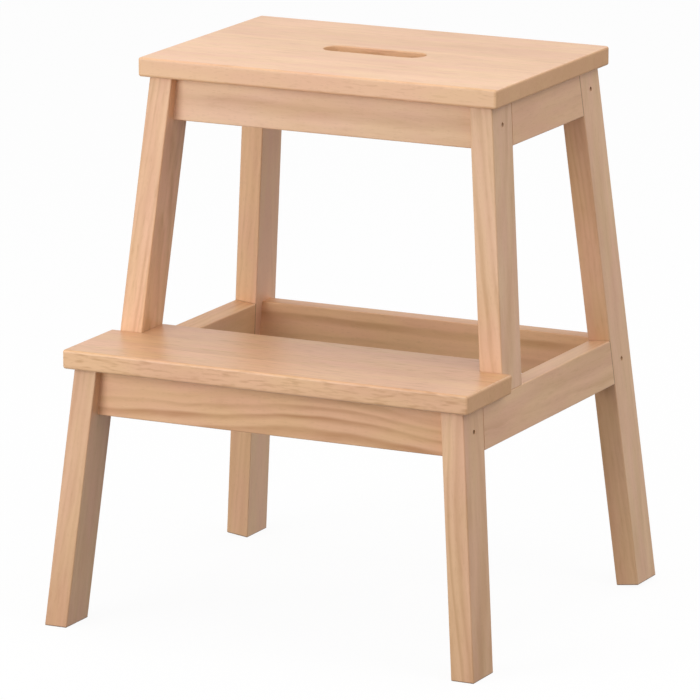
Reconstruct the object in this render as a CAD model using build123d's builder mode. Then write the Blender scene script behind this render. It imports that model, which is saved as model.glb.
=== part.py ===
"""Two-step wooden stool: two splayed side frames, four cross rails, a notched lower tread and a top tread.

Millimetres. +Z is up, -Y is the front and the origin is on the floor in the middle of the four feet.
The right side frame is modelled and the left one is its mirror image.
"""

import os
from math import cos, radians, sin, tan

from build123d import *

# Overall sizes
stool_height = 500.0
floor_width = 425.0
floor_depth = 392.0
lower_tread_height = 251.8
side_lean = 5.2
leg_lean = 5.2
upper_leg_setback = 80.5

# Boards
frame_thickness = 22.0
leg_depth = 40.0
upper_rail_height = 40.0
lower_rail_height = 41.0
cross_rail_thickness = 18.0
board_round = 1.2
foot_chamfer = 0.6
rear_foot_rise = 2.8

# Treads
tread_thickness = 17.5
tread_overhang = 8.0
tread_corner = 2.8
tread_round = 2.4
tongue_lip = 2.0
notch_clearance = 0.3
hand_slot_length = 100.0
hand_slot_width = 26.5
hand_slot_round = 1.2

# Dowels
hole_end_gap = 1.0
dowel_diameter = 8.0
dowel_length = 26.0
dowel_spacing = 20.0
cross_dowel_diameter = 6.0
cross_dowel_length = 24.0
cross_dowel_spacing = 25.0
tread_dowel_length = 24.0
tread_dowel_inset = 10.0
dowel_chamfer = 0.8
dowel_clearance = 0.1

# Screws: the rail screws go through the legs, the tread screws go up through the side rails
screw_clearance = 0.2
screw_point = 4.0
rail_screw_diameter = 3.0
rail_screw_length = 55.0
rail_screw_head_diameter = 3.8
rail_screw_head_height = 3.0
rail_screw_sink = 1.5
rail_screw_socket = 2.0
tread_screw_diameter = 4.0
tread_screw_length = 30.0
tread_screw_bite = 12.0
tread_screw_head_diameter = 8.0
tread_screw_head_height = 4.0
tread_screw_socket = 4.0
tread_screw_inset = 35.0
socket_depth_share = 0.7

# The outer face of the right side frame: local x runs back along +Y and local y runs up the leaning frame.
lean = radians(side_lean)
leg_slope = tan(radians(leg_lean))
leg_run = leg_depth / cos(radians(leg_lean))
frame = Plane((floor_width / 2, 0, 0), x_dir=(0, 1, 0), z_dir=(cos(lean), 0, sin(lean)))
top_seat = stool_height - tread_thickness
lower_seat = lower_tread_height - tread_thickness


def up_outer_face(z):
    """Distance up the frame at which its outer face is z above the floor."""
    return z / cos(lean)


def up_inner_face(z):
    """Distance up the frame at which its inner face is z above the floor."""
    return (z + frame_thickness * sin(lean)) / cos(lean)


def outer_x(z):
    """Half the width over the side frames at height z."""
    return floor_width / 2 - z * tan(lean)


def inner_x(z):
    """Half the width between the side frames at height z."""
    return outer_x(z) - frame_thickness / cos(lean)


def lower_leg_front(up):
    """Y of the lower front leg's front edge, by distance up the frame."""
    return up * leg_slope - floor_depth / 2


def lower_leg_rear(up):
    return lower_leg_front(up) + leg_run


def upper_leg_front(up):
    return lower_leg_front(up) + upper_leg_setback


def upper_leg_rear(up):
    return upper_leg_front(up) + leg_run


def rear_leg_rear(up):
    return floor_depth / 2 - up * leg_slope


def rear_leg_front(up):
    return rear_leg_rear(up) - leg_run


def facing_out(y, up, depth=0.0):
    """A plane at a point of the frame, parallel to its outer face and that far below it."""
    return Plane(frame.from_local_coords(Vector(y, up, -depth)), x_dir=frame.x_dir, z_dir=frame.z_dir)


def facing_back(y, up):
    """A plane at mid-thickness of the frame that faces +Y."""
    return Plane(frame.from_local_coords(Vector(y, up, -frame_thickness / 2)), z_dir=frame.x_dir)


def facing_down(y, up):
    """A plane at mid-thickness of the frame that faces down it."""
    return Plane(frame.from_local_coords(Vector(y, up, -frame_thickness / 2)), z_dir=-frame.y_dir)


def both_sides(planes):
    """Planes of the right side followed by their mirror images on the left."""
    left = []
    for plane in planes:
        origin = Vector(-plane.origin.X, plane.origin.Y, plane.origin.Z)
        left.append(Plane(origin, z_dir=Vector(-plane.z_dir.X, plane.z_dir.Y, plane.z_dir.Z)))
    return planes + left


# Where the rails sit: side rails by their outer edge, cross rails by the legs' inner faces
lower_rail_top = up_outer_face(lower_seat)
lower_rail_bottom = lower_rail_top - lower_rail_height
upper_rail_top = up_outer_face(top_seat)
upper_rail_bottom = upper_rail_top - upper_rail_height
upper_cross_middle = top_seat - upper_rail_height / 2
lower_cross_middle = lower_seat - frame_thickness * sin(lean) - lower_rail_height / 2
upper_cross_up = up_inner_face(upper_cross_middle)
lower_cross_up = up_inner_face(lower_cross_middle)
half_run = leg_run / 2

# Depths of the screws' head seats and points below the faces they go in through
rail_screw_seat = rail_screw_sink + rail_screw_head_height
rail_screw_reach = rail_screw_seat + rail_screw_length
top_screw_reach = upper_rail_height + tread_screw_bite
top_screw_pocket = top_screw_reach - tread_screw_length
lower_screw_reach = lower_rail_height + tread_screw_bite
lower_screw_pocket = lower_screw_reach - tread_screw_length


# Joints of the right side, as planes on the faces that meet
def rail_end_joints(end, bottom, top):
    """The two dowels of a side rail's end, spread about the middle of the rail."""
    middle = (bottom + top) / 2
    heights = (middle - dowel_spacing / 2, middle + dowel_spacing / 2)
    return [facing_back(end(up), up) for up in heights]


def cross_end_joints(leg_front, middle):
    """The two dowels of a cross rail's end, spread about its screw and centred on the leg."""
    heights = (middle - cross_dowel_spacing / 2, middle + cross_dowel_spacing / 2)
    return [facing_out(leg_front(middle) + half_run, up, frame_thickness) for up in heights]


upper_front_joints = rail_end_joints(upper_leg_rear, upper_rail_bottom, upper_rail_top)
upper_rear_joints = rail_end_joints(rear_leg_front, upper_rail_bottom, upper_rail_top)
lower_front_joints = rail_end_joints(lower_leg_rear, lower_rail_bottom, lower_rail_top)
lower_rear_joints = rail_end_joints(rear_leg_front, lower_rail_bottom, lower_rail_top)

post_middle = upper_leg_front(lower_rail_top) + half_run
post_places = (post_middle - dowel_spacing / 2, post_middle + dowel_spacing / 2)
post_joints = [facing_down(y, lower_rail_top) for y in post_places]

upper_front_cross = cross_end_joints(upper_leg_front, upper_cross_up)
upper_rear_cross = cross_end_joints(rear_leg_front, upper_cross_up)
lower_front_cross = cross_end_joints(lower_leg_front, lower_cross_up)
lower_rear_cross = cross_end_joints(rear_leg_front, lower_cross_up)

upper_front_screw = [facing_out(upper_leg_front(upper_cross_up) + half_run, upper_cross_up)]
upper_rear_screw = [facing_out(rear_leg_front(upper_cross_up) + half_run, upper_cross_up)]
lower_front_screw = [facing_out(lower_leg_front(lower_cross_up) + half_run, lower_cross_up)]
lower_rear_screw = [facing_out(rear_leg_front(lower_cross_up) + half_run, lower_cross_up)]

top_screw_places = (
    upper_leg_rear(upper_rail_bottom) + tread_screw_inset,
    rear_leg_front(upper_rail_bottom) - tread_screw_inset,
)
top_tread_screw_faces = [facing_down(y, upper_rail_bottom) for y in top_screw_places]
lug_middle = (lower_leg_rear(lower_rail_bottom) + upper_leg_front(lower_rail_top)) / 2
lower_tread_screw_faces = [facing_down(lug_middle, lower_rail_bottom)]

leg_top_x = (outer_x(lower_seat) + inner_x(lower_seat)) / 2
leg_top_y = lower_leg_front(lower_rail_top) + tread_dowel_inset
tread_dowel_joints = [Plane((leg_top_x, leg_top_y, lower_seat))]


def board(front, rear, low, high):
    """A board of the side frame: its front and rear edges are lines, given as Y by distance up the frame."""
    with BuildSketch(frame) as outline:
        with BuildLine():
            Polyline((front(low), low), (rear(low), low), (rear(high), high), (front(high), high), close=True)
        make_face()
    extrude(outline.sketch, amount=-frame_thickness)


def stand_on_floor():
    split(bisect_by=Plane.XY, keep=Keep.TOP)


def stand_on_inner_edge():
    """Saw the foot so that it rises from its inner edge, on the floor, to its outer face."""
    across = Vector(frame_thickness / cos(lean), 0, rear_foot_rise).normalized()
    sole = Plane((inner_x(0), 0, 0), x_dir=across, z_dir=across.cross(Vector(0, 1, 0)))
    split(bisect_by=sole, keep=Keep.TOP)


def cut_level(z):
    """Cut the top off level, to carry a tread."""
    split(bisect_by=Plane.XY.offset(z), keep=Keep.BOTTOM)


def round_long_edges():
    fillet(edges().sort_by(SortBy.LENGTH)[-4:], board_round)


def ease_foot():
    chamfer(faces().sort_by(Axis.Z)[0].edges(), foot_chamfer)


def drill(joints, diameter, length):
    """Bore a dowel's hole into whichever piece is being made, centred on the joint's face."""
    with Locations(*joints):
        Cylinder(diameter / 2 + dowel_clearance, length + 2 * hole_end_gap, mode=Mode.SUBTRACT)


def drill_rail_screw(faces_out):
    """Bore the leg for a slim-head screw, sunk below its outer face."""
    with Locations(*faces_out):
        CounterBoreHole(
            rail_screw_diameter / 2 + screw_clearance,
            rail_screw_head_diameter / 2 + screw_clearance,
            rail_screw_seat,
        )


def drill_tread_screw(faces_down, pocket):
    """Bore a side rail from below for a tread's screw, with a deep pocket for its head."""
    with Locations(*faces_down):
        CounterBoreHole(
            tread_screw_diameter / 2 + screw_clearance,
            tread_screw_head_diameter / 2 + screw_clearance,
            pocket,
        )


def mirror_twin(piece):
    """The left-hand piece of a right-hand one."""
    with BuildPart() as twin:
        mirror(piece.part, about=Plane.YZ)
    return twin


# Side frame
with BuildPart() as rear_leg_right:
    board(rear_leg_front, rear_leg_rear, -frame_thickness, upper_rail_top + frame_thickness)
    stand_on_inner_edge()
    cut_level(top_seat)
    round_long_edges()
    ease_foot()
    drill(upper_rear_joints + lower_rear_joints, dowel_diameter, dowel_length)
    drill(upper_rear_cross + lower_rear_cross, cross_dowel_diameter, cross_dowel_length)
    drill_rail_screw(upper_rear_screw + lower_rear_screw)

with BuildPart() as upper_front_leg_right:
    board(upper_leg_front, upper_leg_rear, lower_rail_top, upper_rail_top + frame_thickness)
    cut_level(top_seat)
    round_long_edges()
    drill(upper_front_joints + post_joints, dowel_diameter, dowel_length)
    drill(upper_front_cross, cross_dowel_diameter, cross_dowel_length)
    drill_rail_screw(upper_front_screw)

with BuildPart() as lower_front_leg_right:
    board(lower_leg_front, lower_leg_rear, -frame_thickness, lower_rail_top + frame_thickness)
    stand_on_floor()
    cut_level(lower_seat)
    round_long_edges()
    ease_foot()
    drill(lower_front_joints, dowel_diameter, dowel_length)
    drill(tread_dowel_joints, dowel_diameter, tread_dowel_length)
    drill(lower_front_cross, cross_dowel_diameter, cross_dowel_length)
    drill_rail_screw(lower_front_screw)

with BuildPart() as upper_side_rail_right:
    board(upper_leg_rear, rear_leg_front, upper_rail_bottom, upper_rail_top + frame_thickness)
    cut_level(top_seat)
    round_long_edges()
    drill(upper_front_joints + upper_rear_joints, dowel_diameter, dowel_length)
    drill_tread_screw(top_tread_screw_faces, top_screw_pocket)

with BuildPart() as lower_side_rail_right:
    board(lower_leg_rear, rear_leg_front, lower_rail_bottom, lower_rail_top)
    round_long_edges()
    drill(lower_front_joints + lower_rear_joints + post_joints, dowel_diameter, dowel_length)
    drill_tread_screw(lower_tread_screw_faces, lower_screw_pocket)


def cross_rail(leg_front, middle, middle_up, height, end_joints, screw_face):
    """A rail between the side frames, mitred to their lean and centred on the legs' depth."""
    low = middle - height / 2
    high = middle + height / 2
    front_y = leg_front(middle_up) + half_run - cross_rail_thickness / 2
    with BuildPart() as rail:
        with BuildSketch(Plane.XZ.offset(-front_y)):
            with BuildLine():
                Polyline(
                    (-inner_x(low), low),
                    (inner_x(low), low),
                    (inner_x(high), high),
                    (-inner_x(high), high),
                    close=True,
                )
            make_face()
        extrude(amount=-cross_rail_thickness)
        round_long_edges()
        drill(both_sides(end_joints), cross_dowel_diameter, cross_dowel_length)
        with Locations(*both_sides(screw_face)):
            Hole(rail_screw_diameter / 2 + screw_clearance, depth=rail_screw_reach + hole_end_gap)
    return rail


# Cross rails
upper_front_rail = cross_rail(
    upper_leg_front,
    upper_cross_middle,
    upper_cross_up,
    upper_rail_height,
    upper_front_cross,
    upper_front_screw,
)
upper_rear_rail = cross_rail(
    rear_leg_front,
    upper_cross_middle,
    upper_cross_up,
    upper_rail_height,
    upper_rear_cross,
    upper_rear_screw,
)
lower_front_rail = cross_rail(
    lower_leg_front,
    lower_cross_middle,
    lower_cross_up,
    lower_rail_height,
    lower_front_cross,
    lower_front_screw,
)
lower_rear_rail = cross_rail(
    rear_leg_front,
    lower_cross_middle,
    lower_cross_up,
    lower_rail_height,
    lower_rear_cross,
    lower_rear_screw,
)


def tread_blank(half_width, front, rear, seat):
    """A tread's board with its corners and rims rounded."""
    with BuildSketch(Plane.XY.offset(seat)) as outline:
        with Locations((0, (front + rear) / 2)):
            RectangleRounded(2 * half_width, rear - front, tread_corner)
    extrude(outline.sketch, amount=tread_thickness)
    level_faces = faces().filter_by(Axis.Z)
    fillet(level_faces.edges(), tread_round)


def drill_tread_pilots(rail_faces, reach):
    """Bore the pilot holes of a tread's screws, on the axes of the side rails' bores."""
    for face in both_sides(rail_faces):
        with Locations(face):
            Hole(tread_screw_diameter / 2 + screw_clearance, depth=reach + hole_end_gap)


# Top tread
top_front = upper_leg_front(upper_rail_top) - tread_overhang
top_rear = rear_leg_rear(upper_rail_top) + tread_overhang

with BuildPart() as top_tread:
    tread_blank(outer_x(top_seat) + tread_overhang, top_front, top_rear, top_seat)
    with BuildSketch(Plane.XY.offset(top_seat)):
        with Locations((0, (top_front + top_rear) / 2)):
            SlotOverall(hand_slot_length, hand_slot_width)
    extrude(amount=tread_thickness, mode=Mode.SUBTRACT)
    slot_rims = [face.inner_wires()[0] for face in faces().filter_by(Axis.Z)]
    fillet([edge for rim in slot_rims for edge in rim.edges()], hand_slot_round)
    drill_tread_pilots(top_tread_screw_faces, top_screw_reach)

# Lower tread: its rear corners are cut away round the upper front legs, with walls that follow their lean.
lower_front = lower_leg_front(lower_rail_top) - tread_overhang
lower_rear = upper_leg_rear(up_outer_face(lower_tread_height)) + tongue_lip


def notch_front(up):
    return upper_leg_front(up) - notch_clearance


def notch_rear(up):
    return lower_rear + leg_depth


with BuildPart() as leg_notch:
    notch_reach = 2 * tread_overhang
    notch_low = lower_rail_top - frame_thickness
    notch_high = lower_rail_top + tread_thickness + frame_thickness
    with BuildSketch(frame.offset(notch_reach)):
        with BuildLine():
            Polyline(
                (notch_front(notch_low), notch_low),
                (notch_rear(notch_low), notch_low),
                (notch_rear(notch_high), notch_high),
                (notch_front(notch_high), notch_high),
                close=True,
            )
        make_face()
    extrude(amount=-(notch_reach + frame_thickness + notch_clearance))

with BuildPart() as lower_tread:
    tread_blank(outer_x(lower_seat) + tread_overhang, lower_front, lower_rear, lower_seat)
    add(leg_notch.part, mode=Mode.SUBTRACT)
    mirror(leg_notch.part, about=Plane.YZ, mode=Mode.SUBTRACT)
    drill(both_sides(tread_dowel_joints), dowel_diameter, tread_dowel_length)
    drill_tread_pilots(lower_tread_screw_faces, lower_screw_reach)


def dowel_group(joints, diameter, length):
    """Plain chamfered dowels on the right side's joints and their mirror images."""
    with BuildPart() as group:
        with Locations(*both_sides(joints)):
            Cylinder(diameter / 2, length)
        chamfer(edges().filter_by(GeomType.CIRCLE), dowel_chamfer)
    return group


def screw(diameter, length, head_diameter, head_height, socket):
    """A hex-socket screw: its head stands on the XY plane and its shank points down."""
    with BuildPart() as one:
        with BuildSketch(Plane.XZ):
            with BuildLine():
                Polyline(
                    (0, head_height),
                    (head_diameter / 2, head_height),
                    (head_diameter / 2, 0),
                    (diameter / 2, 0),
                    (diameter / 2, screw_point - length),
                    (0, -length),
                    close=True,
                )
            make_face()
        revolve(axis=Axis.Z)
        with BuildSketch(Plane.XY.offset(head_height)):
            RegularPolygon(socket / 2, 6, major_radius=False)
        extrude(amount=-socket_depth_share * head_height, mode=Mode.SUBTRACT)
    return one


def screw_group(one, seats):
    """Copies of a screw with their heads bearing on the given planes."""
    with BuildPart() as group:
        with Locations(*seats):
            add(one.part)
    return group


# Fasteners
upper_side_dowels = dowel_group(upper_front_joints + upper_rear_joints, dowel_diameter, dowel_length)
lower_side_dowels = dowel_group(lower_front_joints + lower_rear_joints, dowel_diameter, dowel_length)
post_dowels = dowel_group(post_joints, dowel_diameter, dowel_length)
lower_tread_dowels = dowel_group(tread_dowel_joints, dowel_diameter, tread_dowel_length)
upper_cross_joints = upper_front_cross + upper_rear_cross
upper_cross_dowels = dowel_group(upper_cross_joints, cross_dowel_diameter, cross_dowel_length)
lower_cross_joints = lower_front_cross + lower_rear_cross
lower_cross_dowels = dowel_group(lower_cross_joints, cross_dowel_diameter, cross_dowel_length)

rail_screw = screw(
    rail_screw_diameter,
    rail_screw_length,
    rail_screw_head_diameter,
    rail_screw_head_height,
    rail_screw_socket,
)
tread_screw = screw(
    tread_screw_diameter,
    tread_screw_length,
    tread_screw_head_diameter,
    tread_screw_head_height,
    tread_screw_socket,
)


def sunk(face_planes, depth):
    """The seats of screw heads, that far below the faces they go in through."""
    return [plane.offset(-depth) for plane in both_sides(face_planes)]


upper_rail_screws = screw_group(rail_screw, sunk(upper_front_screw + upper_rear_screw, rail_screw_seat))
lower_rail_screws = screw_group(rail_screw, sunk(lower_front_screw + lower_rear_screw, rail_screw_seat))
top_tread_screws = screw_group(tread_screw, sunk(top_tread_screw_faces, top_screw_pocket))
lower_tread_screws = screw_group(tread_screw, sunk(lower_tread_screw_faces, lower_screw_pocket))

pieces = {
    "top_tread": top_tread,
    "lower_tread": lower_tread,
    "upper_front_rail": upper_front_rail,
    "upper_rear_rail": upper_rear_rail,
    "lower_front_rail": lower_front_rail,
    "lower_rear_rail": lower_rear_rail,
    "upper_side_dowels": upper_side_dowels,
    "lower_side_dowels": lower_side_dowels,
    "post_dowels": post_dowels,
    "lower_tread_dowels": lower_tread_dowels,
    "upper_cross_dowels": upper_cross_dowels,
    "lower_cross_dowels": lower_cross_dowels,
    "upper_rail_screws": upper_rail_screws,
    "lower_rail_screws": lower_rail_screws,
    "top_tread_screws": top_tread_screws,
    "lower_tread_screws": lower_tread_screws,
}
side_frame = {
    "rear_leg": rear_leg_right,
    "upper_front_leg": upper_front_leg_right,
    "lower_front_leg": lower_front_leg_right,
    "upper_side_rail": upper_side_rail_right,
    "lower_side_rail": lower_side_rail_right,
}
for name, piece in side_frame.items():
    pieces[f"{name}_right"] = piece
    pieces[f"{name}_left"] = mirror_twin(piece)

os.makedirs("parts", exist_ok=True)
for name, piece in pieces.items():
    piece.part.label = name
    export_step(piece.part, f"parts/{name}.step")
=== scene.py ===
"""Blender looks for the two-step beech stool: board finishes, dowels, screws, floor, light and camera."""

from dataclasses import dataclass
from math import radians

import bpy
import numpy as np
from bpy.props import FloatProperty, FloatVectorProperty, PointerProperty
from bpy.types import Operator, Panel, PropertyGroup
from mathutils import Matrix, Vector

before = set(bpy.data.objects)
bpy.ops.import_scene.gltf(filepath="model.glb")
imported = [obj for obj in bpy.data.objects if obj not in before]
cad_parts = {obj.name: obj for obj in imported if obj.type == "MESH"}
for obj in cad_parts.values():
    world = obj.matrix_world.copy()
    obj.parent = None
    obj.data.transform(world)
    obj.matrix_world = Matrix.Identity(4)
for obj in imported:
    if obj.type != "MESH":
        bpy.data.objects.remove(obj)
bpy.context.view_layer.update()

bl_info = {
    "name": "Step stool looks",
    "version": (1, 0, 0),
    "blender": (4, 5, 0),
    "location": "View3D > Sidebar > Stool",
    "description": "Dresses a packed two-step beech stool and sets up its floor, light and camera",
    "category": "Material",
}

MILLIMETRE = 0.001
X_AXIS = np.array((1.0, 0.0, 0.0))
Y_AXIS = np.array((0.0, 1.0, 0.0))
Z_AXIS = np.array((0.0, 0.0, 1.0))


@dataclass
class Sawing:
    """How a board was sawn from its log, and how dark it is.

    Pairs are across the board's face and through its thickness. heart is where the log's heart lies, in
    metres from the board's middle. lean is how far the grain leans for each metre along the board, and arch
    how far it bulges, in metres, around arch_at along the board. phase shifts the rings, as a share of one
    ring. tone darkens the board. tilt, along, across and through it, darkens it slowly towards one side and
    lightens it towards the other; this is partly uneven tone and partly painted shade where less light falls.
    sides is painted shade: it darkens one edge and one face and lightens those opposite, by which way they
    face. warmth makes the board more orange. rings, streaks, patches and dashes scale its figure.
    """

    seed: float
    tone: float = 0.0
    # Slow darkening, partly uneven tone and partly painted shade
    tilt: tuple = (0.0, 0.0, 0.0)
    # Painted shade on whole faces, by which way they face
    sides: tuple = (0.0, 0.0)
    warmth: float = 0.0
    heart: tuple = (0.012, 0.06)
    lean: tuple = (0.0, 0.0)
    arch: tuple = (0.0, 0.0)
    arch_at: float = 0.0
    ring_width: float = 0.006
    phase: float = 0.0
    rings: float = 1.0
    streaks: float = 1.0
    patches: float = 1.0
    dashes: float = 0.4


TREADS = {
    "top_tread": Sawing(
        seed=128.0,
        tone=-0.12,
        tilt=(0.05, 0.04, 0.0),
        warmth=0.2,
        rings=0.4,
        streaks=0.6,
        patches=1.7,
        dashes=0.8,
    ),
    "lower_tread": Sawing(
        seed=193.0,
        tone=0.13,
        tilt=(0.06, 0.08, 0.0),
        warmth=0.3,
        rings=0.4,
        streaks=0.6,
        patches=1.3,
        dashes=1.1,
    ),
}
LEGS = {
    "rear_leg_left": Sawing(
        seed=21.0,
        tone=0.02,
        tilt=(-0.05, 0.0, 0.0),
        sides=(-0.12, -0.43),
        lean=(0.02, 0.04),
        rings=0.7,
    ),
    "rear_leg_right": Sawing(
        seed=22.0,
        tilt=(0.03, 0.0, -0.15),
        sides=(0.27, 0.08),
        warmth=-0.5,
        lean=(0.02, -0.03),
        rings=0.7,
        patches=1.3,
    ),
    "upper_front_leg_left": Sawing(
        seed=23.0,
        tone=0.02,
        tilt=(-0.1, 0.0, 0.0),
        sides=(-0.07, 0.0),
        warmth=-0.1,
        lean=(0.0, 0.05),
        rings=1.4,
        streaks=1.6,
        patches=1.6,
        dashes=0.7,
    ),
    "upper_front_leg_right": Sawing(
        seed=24.0,
        tone=0.1,
        tilt=(-0.04, 0.0, 0.0),
        warmth=-0.8,
        lean=(0.01, -0.06),
        ring_width=0.008,
        rings=1.3,
        patches=1.2,
    ),
    "lower_front_leg_left": Sawing(
        seed=25.0,
        tone=0.29,
        tilt=(-0.14, 0.0, 0.0),
        sides=(-0.04, -0.17),
        warmth=-0.5,
        lean=(0.01, 0.04),
        rings=0.7,
        patches=1.3,
    ),
    "lower_front_leg_right": Sawing(
        seed=26.0,
        tone=0.08,
        tilt=(-0.05, 0.0, 0.0),
        sides=(0.0, 0.09),
        warmth=-0.3,
        heart=(0.025, 0.08),
        arch=(0.0, -0.012),
        arch_at=0.015,
        ring_width=0.009,
        phase=0.6,
        rings=1.6,
    ),
}
SIDE_RAILS = {
    "upper_side_rail_left": Sawing(seed=31.0),
    "upper_side_rail_right": Sawing(seed=32.0, rings=0.8),
    "lower_side_rail_left": Sawing(
        seed=33.0,
        tone=-0.06,
        tilt=(-0.06, 0.0, 0.0),
        sides=(0.0, -0.14),
        warmth=0.8,
    ),
    "lower_side_rail_right": Sawing(
        seed=34.0,
        tone=0.07,
        warmth=-0.2,
        lean=(-0.03, 0.0),
        rings=0.8,
    ),
}
CROSS_RAILS = {
    "upper_front_rail": Sawing(
        seed=72.0,
        tone=-0.2,
        tilt=(0.12, 0.0, 0.0),
        warmth=-1.1,
        heart=(-0.05, 0.06),
        lean=(0.013, 0.0),
        ring_width=0.018,
        phase=0.06,
        rings=1.7,
        patches=0.5,
    ),
    "upper_rear_rail": Sawing(seed=42.0),
    "lower_front_rail": Sawing(
        seed=97.0,
        tone=-0.155,
        tilt=(0.12, 0.0, 0.0),
        warmth=0.4,
        heart=(-0.05, 0.06),
        arch=(0.014, 0.0),
        arch_at=0.045,
        ring_width=0.0062,
        phase=1.1,
        rings=2.5,
    ),
    "lower_rear_rail": Sawing(
        seed=44.0,
        tone=-0.2,
        tilt=(0.0, 0.16, 0.0),
        sides=(0.0, -0.15),
        warmth=0.8,
        heart=(-0.05, 0.06),
        ring_width=0.012,
        phase=-0.47,
        rings=2.2,
    ),
}
DOWELS = (
    "upper_side_dowels",
    "lower_side_dowels",
    "post_dowels",
    "lower_tread_dowels",
    "upper_cross_dowels",
    "lower_cross_dowels",
)
DOWEL_SEED = 60.0
DOWEL_ROUGHNESS = 0.7
SCREWS = ("upper_rail_screws", "lower_rail_screws", "top_tread_screws", "lower_tread_screws")


class BeechSettings(PropertyGroup):
    """Colours and finish of the beech, shared by all the boards."""

    pale: FloatVectorProperty(
        name="Pale wood",
        description="Colour of the lightest wood",
        subtype="COLOR",
        min=0.0,
        max=1.0,
        default=(0.87, 0.541, 0.322),
    )
    dark: FloatVectorProperty(
        name="Dark wood",
        description="Colour of the ring lines and streaks",
        subtype="COLOR",
        min=0.0,
        max=1.0,
        default=(0.535, 0.277, 0.126),
    )
    blush: FloatVectorProperty(
        name="Blush",
        description="Colour of the pinkish patches in the wood",
        subtype="COLOR",
        min=0.0,
        max=1.0,
        default=(0.76, 0.42, 0.26),
    )
    end_grain: FloatVectorProperty(
        name="End grain",
        description="Colour of the sawn ends",
        subtype="COLOR",
        min=0.0,
        max=1.0,
        default=(0.70, 0.41, 0.225),
    )
    fleck: FloatVectorProperty(
        name="Ray flecks",
        description="Colour of the short rays that fleck the faces",
        subtype="COLOR",
        min=0.0,
        max=1.0,
        default=(0.45, 0.235, 0.12),
    )
    # Painted shadow of the open joints, and soil with painted contact shadow on the feet's rims
    painted_shadow_and_soil: FloatVectorProperty(
        name="Stain",
        description="Colour of an open joint's shadow and of the soiled rim of a foot",
        subtype="COLOR",
        min=0.0,
        max=1.0,
        default=(0.16, 0.075, 0.035),
    )
    wander: FloatProperty(
        name="Wander",
        description="How far the grain wanders off the straight",
        unit="LENGTH",
        default=0.005,
    )
    roughness: FloatProperty(
        name="Lacquer roughness",
        description="Roughness of the matt lacquer on the frame",
        subtype="FACTOR",
        min=0.0,
        max=1.0,
        default=0.46,
    )
    end_roughness: FloatProperty(
        name="End roughness",
        description="Roughness of the sawn ends",
        subtype="FACTOR",
        min=0.0,
        max=1.0,
        default=0.80,
    )


class TreadSettings(PropertyGroup):
    """What sets the treads apart from the other boards."""

    stave_width: FloatProperty(
        name="Stave width",
        description="Width of the staves that the treads are glued up from",
        unit="LENGTH",
        default=0.044,
    )
    roughness: FloatProperty(
        name="Tread roughness",
        description="Roughness of the satin lacquer on the treads",
        subtype="FACTOR",
        min=0.0,
        max=1.0,
        default=0.37,
    )


class ScrewSettings(PropertyGroup):
    """The zinc of the screws."""

    steel: FloatVectorProperty(
        name="Zinc",
        description="Colour of the screws",
        subtype="COLOR",
        min=0.0,
        max=1.0,
        default=(0.36, 0.33, 0.30),
    )
    roughness: FloatProperty(
        name="Zinc roughness",
        description="Roughness of the screws",
        subtype="FACTOR",
        min=0.0,
        max=1.0,
        default=0.42,
    )


class StageSettings(PropertyGroup):
    """Floor, light and camera."""

    floor: FloatVectorProperty(
        name="Floor",
        description="Colour of the floor as the camera sees it",
        subtype="COLOR",
        min=0.0,
        max=1.0,
        default=(0.95, 0.95, 0.95),
    )
    floor_bounce: FloatVectorProperty(
        name="Floor bounce",
        description="Colour of the light that the floor sends up to the stool",
        subtype="COLOR",
        min=0.0,
        max=1.0,
        default=(0.14, 0.14, 0.14),
    )
    floor_reach: FloatProperty(
        name="Floor reach",
        description="Half the width of the floor",
        unit="LENGTH",
        default=12.0,
    )
    floor_white: FloatProperty(
        name="Floor white",
        description="Share of plain white that the camera sees on the floor; the rest shows the shadow",
        subtype="FACTOR",
        min=0.0,
        max=1.0,
        default=0.93,
    )
    sky: FloatProperty(
        name="Sky",
        description="Level of the light from all around",
        min=0.0,
        default=0.70,
    )
    key: FloatProperty(
        name="Key light",
        description="Power of the soft light at the front left",
        unit="POWER",
        min=0.0,
        default=18.0,
    )
    top: FloatProperty(
        name="Top light",
        description="Power of the soft light overhead",
        unit="POWER",
        min=0.0,
        default=5.5,
    )
    fill: FloatProperty(
        name="Fill light",
        description="Power of the soft light above the right",
        unit="POWER",
        min=0.0,
        default=10.3,
    )
    back: FloatProperty(
        name="Back light",
        description="Power of the soft light above the back",
        unit="POWER",
        min=0.0,
        default=6.5,
    )
    lens: FloatProperty(
        name="Lens",
        description="Focal length of the camera",
        subtype="DISTANCE_CAMERA",
        default=321.86,
    )


@dataclass
class Texture:
    """Soft noise: its features per metre along, across and through a board, and its finer detail."""

    scale: tuple
    detail: float = 1.0


class Wire:
    """A socket of a node tree. Arithmetic on wires adds Math nodes."""

    def __init__(self, nodes, socket):
        self.nodes = nodes
        self.socket = socket

    def __add__(self, other):
        return self.nodes.math("ADD", self, other)

    def __radd__(self, other):
        return self.nodes.math("ADD", other, self)

    def __sub__(self, other):
        return self.nodes.math("SUBTRACT", self, other)

    def __rsub__(self, other):
        return self.nodes.math("SUBTRACT", other, self)

    def __mul__(self, other):
        return self.nodes.math("MULTIPLY", self, other)

    def __rmul__(self, other):
        return self.nodes.math("MULTIPLY", other, self)

    def __truediv__(self, other):
        return self.nodes.math("DIVIDE", self, other)

    def __pow__(self, other):
        return self.nodes.math("POWER", self, other)


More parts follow.
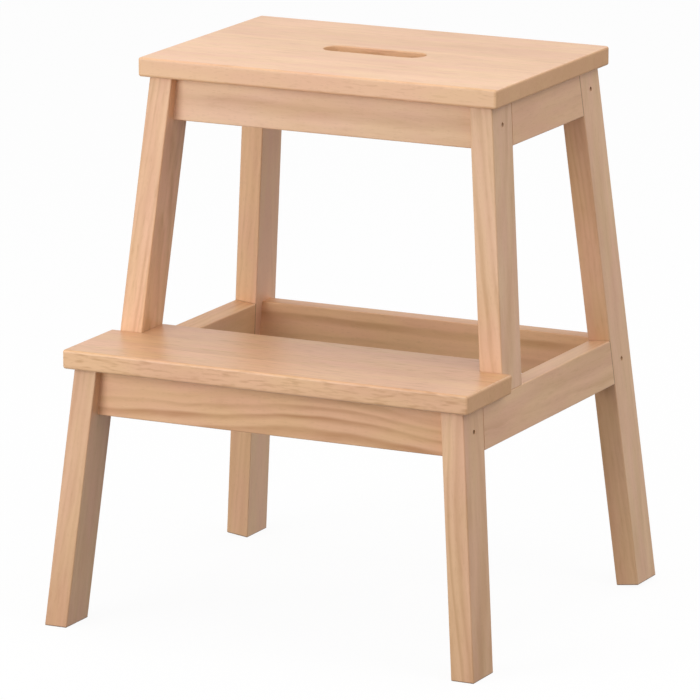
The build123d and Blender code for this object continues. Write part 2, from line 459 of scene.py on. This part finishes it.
class Nodes:
    """A node tree being filled."""

    def __init__(self, tree):
        self.tree = tree
        tree.nodes.clear()

    def add(self, kind, settings, inputs, output=0):
        """Adds a node, sets its settings and then its sockets, and gives one of its outputs if it has any."""
        node = self.tree.nodes.new(kind)
        for name, value in settings.items():
            setattr(node, name, value)
        for name, value in inputs.items():
            if isinstance(value, Wire):
                self.tree.links.new(value.socket, node.inputs[name])
            else:
                node.inputs[name].default_value = value
        return Wire(self, node.outputs[output]) if node.outputs else None

    def beside(self, wire, output):
        """Another output of a wire's own node."""
        return Wire(self, wire.socket.node.outputs[output])

    def math(self, operation, *values):
        return self.add("ShaderNodeMath", {"operation": operation}, dict(enumerate(values)))

    def smooth(self, value, low, high):
        """0 below low and 1 above high, with a smooth step between them."""
        return self.add(
            "ShaderNodeMapRange",
            {"interpolation_type": "SMOOTHSTEP"},
            {"Value": value, "From Min": low, "From Max": high},
        )

    def stretch(self, vector, scale):
        return self.add("ShaderNodeVectorMath", {"operation": "MULTIPLY"}, {0: vector, 1: scale})

    def shift(self, vector, step):
        return self.add("ShaderNodeVectorMath", {"operation": "ADD"}, {0: vector, 1: step})

    def dot(self, vector, axis):
        """How far a vector reaches along an axis."""
        return self.add("ShaderNodeVectorMath", {"operation": "DOT_PRODUCT"}, {0: vector, 1: axis}, "Value")

    def noise(self, vector, texture, output="Fac"):
        """A texture's soft noise, as a number from 0 to 1 or as a colour of three."""
        place = self.stretch(vector, texture.scale)
        sockets = {"Vector": place, "Scale": 1.0, "Detail": texture.detail}
        return self.add("ShaderNodeTexNoise", {}, sockets, output)

    def chance(self, number, output="Value"):
        """A random value for each whole number."""
        return self.add("ShaderNodeTexWhiteNoise", {"noise_dimensions": "1D"}, {"W": number}, output)

    def split(self, vector):
        x = self.add("ShaderNodeSeparateXYZ", {}, {0: vector})
        return x, self.beside(x, 1), self.beside(x, 2)

    def join(self, x, y, z):
        return self.add("ShaderNodeCombineXYZ", {}, {0: x, 1: y, 2: z})

    def mix(self, share, start, end, blend="MIX"):
        """A colour part way from start to end. The node's colours are sockets 6 and 7 and output 2."""
        settings = {"data_type": "RGBA", "blend_type": blend, "clamp_factor": True}
        return self.add("ShaderNodeMix", settings, {0: share, 6: start, 7: end}, 2)


def rgba(colour):
    return (*colour, 1.0)


@dataclass
class Board:
    """A board's own axes: x along the grain, y across its face and z through its thickness.

    The columns of turn are these axes, and half is half the board's size along each. taper is how much
    shorter each end gets for each metre across a board that is butted against others. sole is the middle of
    the face that a leg stands on, and its direction into the leg.
    """

    middle: Vector
    turn: Matrix
    half: np.ndarray
    taper: float = None
    sole: tuple = None


# How near to its highest or lowest point a level cut reaches
LEVEL_SKIN = 0.1 * MILLIMETRE

# A leg's sole is below this height, and its normal's upward part is below this number
SOLE_HEIGHT = 5.0 * MILLIMETRE
SOLE_DOWN = -0.95


def node_points(name):
    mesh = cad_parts[name].data
    points = np.empty(len(mesh.vertices) * 3)
    mesh.vertices.foreach_get("co", points)
    return points.reshape(-1, 3)


def board_along(name, grain, normal):
    """The axes, middle and half sizes of a node, from the directions of its grain and of its thickness."""
    across = np.cross(normal, grain)
    axes = np.stack([grain, across, normal])
    inside = node_points(name) @ axes.T
    low = inside.min(0)
    high = inside.max(0)
    middle = axes.T @ ((low + high) / 2)
    return Board(Vector(middle), Matrix(axes.T.tolist()), (high - low) / 2)


def unit(vector):
    return vector / np.linalg.norm(vector)


def front_grain(side):
    """Direction from the middle of a lower front leg's foot to the middle of its top, both cut level."""
    points = node_points(f"lower_front_leg_{side}")
    height = points[:, 2]
    foot = points[height < height.min() + LEVEL_SKIN]
    top = points[height > height.max() - LEVEL_SKIN]
    return unit((top.min(0) + top.max(0) - foot.min(0) - foot.max(0)) / 2)


def rear_grain(side):
    """The rear legs lean forward as much as the front legs lean back."""
    return front_grain(side) * (1.0, -1.0, 1.0)


def side_normal(side):
    """Direction through the thickness of a side frame, square to its legs."""
    up = unit(front_grain(side) + rear_grain(side))
    return np.cross(Y_AXIS, up)


def sole_face(name):
    """The middle of the face that a leg stands on, and its direction into the leg.

    Both are means, by area, over the triangles near the floor that look down.
    """
    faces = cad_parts[name].data.polygons
    under = [face for face in faces if face.center.z < SOLE_HEIGHT and face.normal.z < SOLE_DOWN]
    middle = sum((face.area * face.center for face in under), Vector())
    down = sum((face.area * face.normal for face in under), Vector())
    return middle / sum(face.area for face in under), -down.normalized()


def dress(name, material):
    """Gives a CAD node its material."""
    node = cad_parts[name]
    if not node.material_slots:
        node.data.materials.append(material)
    for slot in node.material_slots:
        slot.material = material


def new_material(name):
    material = bpy.data.materials.new(name)
    material.use_nodes = True
    return material


def finish_surface(nodes, inputs):
    """A Principled surface as the material's output."""
    surface = nodes.add("ShaderNodeBsdfPrincipled", {}, inputs)
    nodes.add("ShaderNodeOutputMaterial", {}, {"Surface": surface})


# Textures of the wood. The flecks are a cell pattern, which has only a scale
WANDER = Texture((4.0, 10.0, 10.0))
WOBBLE = Texture((18.0, 45.0, 45.0))
FADE = Texture((9.0, 40.0, 40.0))
STREAKS = Texture((4.5, 120.0, 120.0), 1.5)
FIBRES = Texture((40.0, 1300.0, 1300.0), 2.0)
PATCHES = Texture((8.0, 20.0, 20.0), 2.0)
BLUSHES = Texture((9.0, 30.0, 30.0), 2.0)
CASTS = Texture((14.0, 60.0, 60.0))
DASHES = Texture((60.0, 380.0, 380.0))
FLECKS = (190.0, 900.0, 900.0)

# Where the textures and other signals start to count, and where they count in full
FADE_RAMP = (0.3, 0.7)
BLUSH_RAMP = (0.42, 0.72)
CAST_RAMP = (0.3, 0.7)
DASH_RAMP = (0.5, 0.78)
FLECK_LUCK = (0.4, 0.9)
FLECK_EDGE = (0.15, 0.5)
SQUARE_RAMP = (0.6, 0.95)
SEAM_RAMP = (0.0, 0.4 * MILLIMETRE)
JOINT_RAMP = (0.5 * MILLIMETRE, 1.2 * MILLIMETRE)
RIM_RAMP = (0.6 * MILLIMETRE, 1.4 * MILLIMETRE)

# How dark the wood is in the middle, and how much each of them darkens it
MIDDLE_TONE = 0.34
RING_DEPTH = 0.34
STREAK_DEPTH = 0.4
FIBRE_DEPTH = 0.14
PATCH_DEPTH = 0.42
DASH_DEPTH = 0.28

# How far each of them takes the wood to a colour of its own: for the joints a painted shadow, for the feet's
# rims soil with a painted contact shadow
BLUSH_DEPTH = 0.35
FLECK_DEPTH = 0.14
SEAM_DEPTH = 0.15
END_DEPTH = 0.6
JOINT_DEPTH = 0.8
RIM_DEPTH = 0.75

# How much rougher fibres and late wood are, how far each stands up or sinks in, and how deep that goes
FIBRE_ROUGHNESS = 0.12
LATE_ROUGHNESS = 0.05
LATE_RELIEF = 0.25
FIBRE_RELIEF = 0.6
FLECK_RELIEF = 0.5
SEAM_RELIEF = 0.6
RELIEF = 0.06 * MILLIMETRE
RELIEF_STRENGTH = 0.5

# How much more of a tread's edges than of its faces is dashed, how much stronger, and how much paler they are
# painted, which is painted light
EDGE_DASHES = 0.04
EDGE_STRENGTH = 0.8
EDGE_PAINTED_LIGHT = 0.26

# Share of red, green and blue that a board loses at a warmth of 1
WARM_LOSS = (0.0, 0.06, 0.15)

# What multiplies red, green and blue where the wood runs pink and where it runs golden
PINK_CAST = (1.0, 0.972, 1.015)
GOLD_CAST = (1.0, 1.022, 0.985)

# Length of an arch in the grain, and how far the grain wobbles, in metres
ARCH_REACH = 0.13
WOBBLE_REACH = 0.004

# Parts of a year at which late wood starts and is darkest, how strong the weakest line is, and how much of a
# line is left where it is faintest
LATE_START = 0.1
LATE_PEAK = 0.7
WEAKEST_RING = 0.2
FAINTEST_RING = 0.35

# How many years uneven growth moves the rings by, and how often that changes in a year
UNEVEN_YEARS = 1.2
UNEVEN_PACE = 0.5

# How far a board's figure is moved along, across and through it for each unit of its seed
SEED_STEPS = (1.37, 0.61, 0.83)

# How the staves of a tread differ: the place of their hearts in metres, their tone, and how far each one's
# figure is moved, along it by chance and across it from stave to stave
HEART_SPREAD = (0.09, 0.16)
TONE_SPREAD = 0.22
STAVE_SHIFT = 3.0
STAVE_STEP = 0.7


def between(low, share):
    """From low at a share of 0 to 1 at a share of 1."""
    return low + (1.0 - low) * share


def squarely(nodes, outward, axis):
    """1 on the faces square to an axis and 0 on the others, with a smooth step over the rounded edges."""
    return nodes.smooth(nodes.math("ABSOLUTE", nodes.dot(outward, axis)), *SQUARE_RAMP)


def follow_grain(nodes, place, along, across, deep, sawing, wander):
    """The place across and through the board, measured from the grain instead of from the board.

    The grain leans by a steady slope, bulges in a bell curve around the arch, and wanders with slow and fast
    noise.
    """
    slow = nodes.split(nodes.noise(place, WANDER, "Color"))
    fast = nodes.split(nodes.noise(place, WOBBLE, "Color"))
    bell = nodes.math("EXPONENT", ((along - sawing.arch_at) / ARCH_REACH) ** 2.0 * -1.0)
    grain = []
    for axis, reach in enumerate((across, deep)):
        drift = (slow[axis] - 0.5) * wander + (fast[axis] - 0.5) * WOBBLE_REACH
        grain.append(reach - along * sawing.lean[axis] - bell * sawing.arch[axis] + drift)
    return grain


def ring_lines(nodes, place, across, deep, heart, sawing):
    """Late wood of the year rings, from 0 to the strength of the board's rings.

    A point's year is its distance from the heart of the log over the ring width. Each year darkens slowly to
    a line whose strength is drawn by chance, and which fades in and out along the board.
    """
    ring_across = across - heart[0]
    ring_deep = deep - heart[1]
    radius = nodes.math("SQRT", ring_across * ring_across + ring_deep * ring_deep)
    years = radius / sawing.ring_width + sawing.phase
    uneven = nodes.add(
        "ShaderNodeTexNoise",
        {"noise_dimensions": "1D"},
        {"W": years * UNEVEN_PACE + sawing.seed, "Scale": 1.0},
    )
    years = years + uneven * UNEVEN_YEARS
    season = nodes.math("FRACT", years)
    late = nodes.smooth(season, LATE_START, LATE_PEAK) - nodes.smooth(season, LATE_PEAK, 1.0)
    strength = between(WEAKEST_RING, nodes.chance(nodes.math("FLOOR", years) + sawing.seed))
    fade = between(FAINTEST_RING, nodes.smooth(nodes.noise(place, FADE), *FADE_RAMP))
    return late * strength * fade * sawing.rings


def painted_joint_shadow(nodes, board, along, across):
    """1 within a millimetre of a board's far end, where the shadow of a joint standing a little open is
    painted, otherwise 0.
    """
    reach = board.half[0] - board.half[1] * board.taper
    from_end = reach - along - across * board.taper
    return 1.0 - nodes.smooth(from_end, *JOINT_RAMP)


def foot_rim(nodes, board, spot):
    """1 within a millimetre of the face that a leg stands on, where its rim is soiled and a contact shadow is
    painted, otherwise 0.
    """
    middle, inward = board.sole
    rise = nodes.dot(spot, inward) - middle.dot(inward)
    return 1.0 - nodes.smooth(rise, *RIM_RAMP)


def ray_flecks(nodes, place):
    """Short dark specks along the grain: some of the cells of a drawn-out cell pattern, from 0 to 1."""
    cell = nodes.add("ShaderNodeTexVoronoi", {}, {"Vector": nodes.stretch(place, FLECKS), "Scale": 1.0})
    luck, _, _ = nodes.split(nodes.beside(cell, "Color"))
    return (1.0 - nodes.smooth(cell, *FLECK_EDGE)) * nodes.smooth(luck, *FLECK_LUCK)


def cut_staves(nodes, board, across, seed, stave_width):
    """The staves that a tread is glued up from, all as wide, and as near to stave_width as they go.

    Gives the number of a point's stave, the place across that stave, three random values of the stave, and 1
    in the fine seam between two staves and 0 elsewhere.
    """
    width = 2.0 * board.half[1]
    count = round(width / stave_width)
    stave_width = width / count
    stave = across / stave_width + count / 2.0
    number = nodes.math("FLOOR", stave)
    luck = nodes.split(nodes.chance(number + seed, "Color"))
    inside = nodes.math("FRACT", stave) - 0.5
    from_seam = (0.5 - nodes.math("ABSOLUTE", inside)) * stave_width
    seam = 1.0 - nodes.smooth(from_seam, *SEAM_RAMP)
    return number, inside * stave_width, luck, seam


def beech(name, board, sawing, settings, roughness, stave_width=None):
    """Solid beech in a board's own axes, so that every face shows its true cut of the same grain.

    Ring lines, streaks, fibres, patches and dashes darken the wood from pale to dark; slow darkenings along,
    across and through the board are partly uneven tone and partly painted shade, and darkenings of whole
    faces are painted shade. Blushes, casts, flecks and sawn ends then colour it, joints get a painted shadow,
    and the rims of the feet are soiled and get a painted contact shadow. A tread's staves each have a heart
    and a tone of their own, with a fine seam between them, and its front and back edges get painted light.
    """
    material = new_material(name)
    nodes = Nodes(material.node_tree)
    spot = nodes.add("ShaderNodeTexCoord", {}, {}, "Object")
    outward = nodes.beside(spot, "Normal")
    place = nodes.add(
        "ShaderNodeMapping",
        {"vector_type": "TEXTURE"},
        {"Vector": spot, "Location": board.middle, "Rotation": board.turn.to_euler()},
    )
    along, across, deep = nodes.split(place)
    along_axis, across_axis, deep_axis = board.turn.col
    end = squarely(nodes, outward, along_axis)
    heart = sawing.heart
    tone = sawing.tone + MIDDLE_TONE
    # Slow darkening along, across and through the board: partly uneven tone, partly painted shade where less
    # light falls
    for reach, tilt, half in zip((along, across, deep), sawing.tilt, board.half):
        if tilt:
            tone = tone + reach * (tilt / half)
    # Painted shade: whole faces darkened or lightened by which way they face
    for axis, side in zip((across_axis, deep_axis), sawing.sides):
        if side:
            tone = tone + nodes.dot(outward, axis) * side
    painted_shadow_and_soil = None
    if board.taper:
        # Painted shadow of a joint that stands a little open, at the board's far end
        painted_shadow_and_soil = painted_joint_shadow(nodes, board, along, across) * JOINT_DEPTH
    if board.sole:
        # A soiled rim with painted contact shadow round the sole of a leg
        painted_shadow_and_soil = foot_rim(nodes, board, spot) * RIM_DEPTH
    if stave_width:
        number, across, luck, seam = cut_staves(nodes, board, across, sawing.seed, stave_width)
        heart = [(share - 0.5) * spread for share, spread in zip(luck, HEART_SPREAD)]
        tone = tone + (luck[2] - 0.5) * TONE_SPREAD
        place = nodes.join(along + luck[0] * STAVE_SHIFT, across + number * STAVE_STEP, deep)
    seeds = [sawing.seed * step for step in SEED_STEPS]
    place = nodes.shift(place, seeds)
    across, deep = follow_grain(nodes, place, along, across, deep, sawing, settings.wander)
    late = ring_lines(nodes, place, across, deep, heart, sawing)
    if stave_width:
        across = across + number * STAVE_STEP
    grain = nodes.shift(nodes.join(along, across, deep), seeds)

    fleck = ray_flecks(nodes, grain)
    streak = nodes.noise(grain, STREAKS) - 0.5
    fibre = nodes.noise(grain, FIBRES) - 0.5
    patch = nodes.noise(place, PATCHES) - 0.5
    blush = nodes.smooth(nodes.noise(place, BLUSHES), *BLUSH_RAMP)
    golden = nodes.smooth(nodes.noise(place, CASTS), *CAST_RAMP)
    dash = nodes.noise(grain, DASHES)
    speckle = fleck * FLECK_DEPTH
    height = late * LATE_RELIEF + fibre * FIBRE_RELIEF - fleck * FLECK_RELIEF
    if stave_width:
        edge = squarely(nodes, outward, across_axis)
        dash = nodes.smooth(dash + edge * EDGE_DASHES, *DASH_RAMP) * (1.0 + edge * EDGE_STRENGTH)
        # Painted light: a tread's front and back edges are made paler than its faces
        tone = tone - edge * EDGE_PAINTED_LIGHT
        speckle = speckle + seam * SEAM_DEPTH
        height = height - seam * SEAM_RELIEF
    else:
        dash = nodes.smooth(dash, *DASH_RAMP)

    darkness = late * RING_DEPTH + streak * (STREAK_DEPTH * sawing.streaks)
    darkness = darkness + dash * (DASH_DEPTH * sawing.dashes) + fibre * FIBRE_DEPTH
    darkness = darkness + patch * (PATCH_DEPTH * sawing.patches) + tone
    warm = np.array((1.0, 1.0, 1.0)) - np.array(WARM_LOSS) * sawing.warmth
    colour = nodes.mix(darkness, rgba(warm * settings.pale), rgba(warm * settings.dark))
    colour = nodes.mix(blush * BLUSH_DEPTH, colour, rgba(settings.blush))
    cast = nodes.mix(golden, rgba(PINK_CAST), rgba(GOLD_CAST))
    colour = nodes.mix(1.0, colour, cast, "MULTIPLY")
    colour = nodes.mix(speckle, colour, rgba(settings.fleck))
    colour = nodes.mix(end * END_DEPTH, colour, rgba(settings.end_grain))
    # Painted shadow of the joints, and soil with painted contact shadow on the feet's rims
    if painted_shadow_and_soil is not None:
        colour = nodes.mix(painted_shadow_and_soil, colour, rgba(settings.painted_shadow_and_soil))
    gloss = (1.0 - end) * roughness + end * settings.end_roughness
    gloss = gloss + fibre * FIBRE_ROUGHNESS + late * LATE_ROUGHNESS
    bump = nodes.add(
        "ShaderNodeBump",
        {},
        {"Height": height, "Distance": RELIEF, "Strength": RELIEF_STRENGTH},
    )
    finish_surface(nodes, {"Base Color": colour, "Roughness": gloss, "Normal": bump})
    return material


# Textures of the screws' zinc, how much its crystals change its colour and roughness, how much of the colour
# the dark ones keep, and how deep the scuffs go
CRYSTALS = Texture((1400.0, 1400.0, 1400.0), 3.0)
SCUFFS = Texture((300.0, 2600.0, 2600.0), 2.0)
CRYSTAL_COLOUR = 0.8
CRYSTAL_ROUGHNESS = 0.3
CRYSTAL_SHADE = 0.6
SCUFF_RELIEF = 0.04 * MILLIMETRE
SCUFF_STRENGTH = 0.6


def zinc(name, settings):
    """Dull zinc: mottled crystals in its colour and roughness."""
    material = new_material(name)
    nodes = Nodes(material.node_tree)
    place = nodes.add("ShaderNodeTexCoord", {}, {}, "Object")
    crystals = nodes.noise(place, CRYSTALS) - 0.5
    scuffs = nodes.noise(place, SCUFFS) - 0.5
    shaded = [CRYSTAL_SHADE * share for share in settings.steel]
    colour = nodes.mix(0.5 + crystals * CRYSTAL_COLOUR, rgba(settings.steel), rgba(shaded))
    bump = nodes.add(
        "ShaderNodeBump",
        {},
        {"Height": scuffs, "Distance": SCUFF_RELIEF, "Strength": SCUFF_STRENGTH},
    )
    finish_surface(
        nodes,
        {
            "Base Color": colour,
            "Metallic": 1.0,
            "Roughness": settings.roughness + crystals * CRYSTAL_ROUGHNESS,
            "Normal": bump,
        },
    )
    return material


def dress_boards(boards, kind, place_board, settings, roughness, stave_width=None):
    """Gives each board of a group its own piece of beech."""
    for name, sawing in boards.items():
        board = place_board(name)
        dress(name, beech(f"{kind}_{name}", board, sawing, settings, roughness, stave_width))


def tread_board(name):
    """A tread's axes, or those of a group of dowels: grain from side to side, face up."""
    return board_along(name, X_AXIS, Z_AXIS)


def cross_rail_board(name):
    """A cross rail's axes: grain from side to side, face to the front."""
    return board_along(name, X_AXIS, -Y_AXIS)


def side_rail_board(name):
    """A side rail's axes. Its ends follow the legs, so it gets shorter upwards as they lean."""
    side = name.rsplit("_", 1)[1]
    board = board_along(name, Y_AXIS, side_normal(side))
    grain = front_grain(side)
    board.taper = grain[1] / np.dot(grain, board.turn.col[1])
    return board


def leg_board(name):
    """A leg's axes. The upper front legs are parallel to the lower ones."""
    side = name.rsplit("_", 1)[1]
    grain = rear_grain(side) if name.startswith("rear") else front_grain(side)
    board = board_along(name, grain, side_normal(side))
    if not name.startswith("upper"):
        board.sole = sole_face(name)
    return board


class STOOL_OT_treads(Operator):
    """Dress both treads as boards glued up from staves"""

    bl_idname = "stool.treads"
    bl_label = "Treads"

    def execute(self, context):
        treads = context.scene.stool_treads
        dress_boards(
            TREADS,
            "tread_wood",
            tread_board,
            context.scene.stool_beech,
            treads.roughness,
            treads.stave_width,
        )
        return {"FINISHED"}


class STOOL_OT_legs(Operator):
    """Dress the six legs, with the grain along each leg"""

    bl_idname = "stool.legs"
    bl_label = "Legs"

    def execute(self, context):
        settings = context.scene.stool_beech
        dress_boards(LEGS, "leg_wood", leg_board, settings, settings.roughness)
        return {"FINISHED"}


class STOOL_OT_side_rails(Operator):
    """Dress the four side rails, with the grain from front to back"""

    bl_idname = "stool.side_rails"
    bl_label = "Side rails"

    def execute(self, context):
        settings = context.scene.stool_beech
        dress_boards(SIDE_RAILS, "side_rail_wood", side_rail_board, settings, settings.roughness)
        return {"FINISHED"}


class STOOL_OT_cross_rails(Operator):
    """Dress the four cross rails, with the grain from side to side"""

    bl_idname = "stool.cross_rails"
    bl_label = "Cross rails"

    def execute(self, context):
        settings = context.scene.stool_beech
        dress_boards(CROSS_RAILS, "cross_rail_wood", cross_rail_board, settings, settings.roughness)
        return {"FINISHED"}


class STOOL_OT_dowels(Operator):
    """Dress the dowels hidden in the joints as raw beech"""

    bl_idname = "stool.dowels"
    bl_label = "Dowels"

    def execute(self, context):
        sawings = {name: Sawing(seed=DOWEL_SEED + number) for number, name in enumerate(DOWELS)}
        dress_boards(sawings, "dowel_wood", tread_board, context.scene.stool_beech, DOWEL_ROUGHNESS)
        return {"FINISHED"}


class STOOL_OT_screws(Operator):
    """Dress the screws as dull zinc"""

    bl_idname = "stool.screws"
    bl_label = "Screws"

    def execute(self, context):
        material = zinc("screw_steel_zinc", context.scene.stool_screws)
        for name in SCREWS:
            dress(name, material)
        return {"FINISHED"}


def seen_directly(nodes):
    """1 for rays from the camera and for rays that a glossy or clear surface sends on, otherwise 0."""
    ray = nodes.add("ShaderNodeLightPath", {}, {}, "Is Camera Ray")
    seen = nodes.math("MAXIMUM", ray, nodes.beside(ray, "Is Glossy Ray"))
    return nodes.math("MAXIMUM", seen, nodes.beside(ray, "Is Transmission Ray"))


def floor_surface(reach):
    """A level square of that half width at z = 0, as a grid of two by two points."""
    steps = np.linspace(-reach, reach, 2)
    x, y = np.meshgrid(steps, steps)
    points = np.stack([x, y, np.zeros_like(x)], axis=-1).reshape(-1, 3)
    mesh = bpy.data.meshes.new("floor")
    mesh.from_pydata(points.tolist(), [], [(0, 1, 3, 2)])
    return mesh


def softbox(name, power, size, place, target):
    """A square soft light that faces its target."""
    lamp = bpy.data.lights.new(name, "AREA")
    lamp.energy = power
    lamp.size = size
    light = bpy.data.objects.new(name, lamp)
    light.location = place
    light.rotation_euler = (Vector(target) - Vector(place)).to_track_quat("-Z", "Y").to_euler()
    bpy.context.scene.collection.objects.link(light)


WHITE = (1.0, 1.0, 1.0, 1.0)
CAMERA_PLACE = (2.43872, -4.90695, 1.51337)
CAMERA_DIP = radians(13.1418)
CAMERA_YAW = radians(26.4710)
CAMERA_REACH = 100.0
SENSOR = 36.0
LIGHT_TARGET = (0.0, 0.0, 0.25)
LIGHT_SIZE = 1.2
LIGHT_PLACES = {
    "key": (-0.9, -1.75, 0.65),
    "top": (0.0, -0.3, 2.2),
    "fill": (2.0, -0.3, 1.8),
    "back": (0.3, 1.8, 1.9),
}


class STOOL_OT_stage(Operator):
    """Lay the floor and set up the light and the camera"""

    bl_idname = "stool.stage"
    bl_label = "Stage"

    def execute(self, context):
        scene = context.scene
        settings = scene.stool_stage
        self.lay_floor(scene, settings)
        self.light(scene, settings)
        camera = bpy.data.cameras.new("camera")
        camera.sensor_width = SENSOR
        camera.lens = settings.lens
        camera.clip_end = CAMERA_REACH
        view = bpy.data.objects.new("camera", camera)
        view.location = CAMERA_PLACE
        view.rotation_euler = (radians(90.0) - CAMERA_DIP, 0.0, CAMERA_YAW)
        scene.collection.objects.link(view)
        scene.camera = view
        scene.view_settings.view_transform = "Standard"
        return {"FINISHED"}

    def lay_floor(self, scene, settings):
        """A floor that the camera sees as nearly white, and that sends little light up to the stool."""
        material = new_material("floor_paint")
        nodes = Nodes(material.node_tree)
        paint = nodes.add("ShaderNodeBsdfDiffuse", {}, {"Color": rgba(settings.floor)})
        white = nodes.add("ShaderNodeEmission", {}, {"Strength": 1.0})
        seen = nodes.add("ShaderNodeMixShader", {}, {0: settings.floor_white, 1: paint, 2: white})
        bounce = nodes.add("ShaderNodeBsdfDiffuse", {}, {"Color": rgba(settings.floor_bounce)})
        surface = nodes.add("ShaderNodeMixShader", {}, {0: seen_directly(nodes), 1: bounce, 2: seen})
        nodes.add("ShaderNodeOutputMaterial", {}, {"Surface": surface})
        floor = bpy.data.objects.new("floor", floor_surface(settings.floor_reach))
        floor.data.materials.append(material)
        scene.collection.objects.link(floor)

    def light(self, scene, settings):
        """Even light from all around, white where the camera sees it, and the soft lights."""
        world = bpy.data.worlds.new("studio")
        world.use_nodes = True
        scene.world = world
        nodes = Nodes(world.node_tree)
        sky = nodes.add("ShaderNodeBackground", {}, {"Color": WHITE, "Strength": settings.sky})
        white = nodes.add("ShaderNodeBackground", {}, {"Color": WHITE, "Strength": 1.0})
        surface = nodes.add("ShaderNodeMixShader", {}, {0: seen_directly(nodes), 1: sky, 2: white})
        nodes.add("ShaderNodeOutputWorld", {}, {"Surface": surface})
        for name, place in LIGHT_PLACES.items():
            softbox(name, getattr(settings, name), LIGHT_SIZE, place, LIGHT_TARGET)


OPERATORS = (
    STOOL_OT_treads,
    STOOL_OT_legs,
    STOOL_OT_side_rails,
    STOOL_OT_cross_rails,
    STOOL_OT_dowels,
    STOOL_OT_screws,
    STOOL_OT_stage,
)
SETTINGS = {
    "stool_beech": BeechSettings,
    "stool_treads": TreadSettings,
    "stool_screws": ScrewSettings,
    "stool_stage": StageSettings,
}


class STOOL_PT_looks(Panel):
    """Lists the stool's operators and settings"""

    bl_idname = "STOOL_PT_looks"
    bl_label = "Stool looks"
    bl_space_type = "VIEW_3D"
    bl_region_type = "UI"
    bl_category = "Stool"

    def draw(self, context):
        for operator in OPERATORS:
            self.layout.operator(operator.bl_idname)
        for name, group in SETTINGS.items():
            box = self.layout.box()
            for key in group.__annotations__:
                box.prop(getattr(context.scene, name), key)


def register():
    for group in SETTINGS.values():
        bpy.utils.register_class(group)
    for operator in OPERATORS:
        bpy.utils.register_class(operator)
    bpy.utils.register_class(STOOL_PT_looks)
    for name, group in SETTINGS.items():
        setattr(bpy.types.Scene, name, PointerProperty(type=group))


def unregister():
    for name in SETTINGS:
        delattr(bpy.types.Scene, name)
    bpy.utils.unregister_class(STOOL_PT_looks)
    for operator in OPERATORS:
        bpy.utils.unregister_class(operator)
    for group in SETTINGS.values():
        bpy.utils.unregister_class(group)


def main():
    register()
    bpy.ops.stool.treads()
    bpy.ops.stool.legs()
    bpy.ops.stool.side_rails()
    bpy.ops.stool.cross_rails()
    bpy.ops.stool.dowels()
    bpy.ops.stool.screws()
    bpy.ops.stool.stage()


if __name__ == "__main__":
    main()
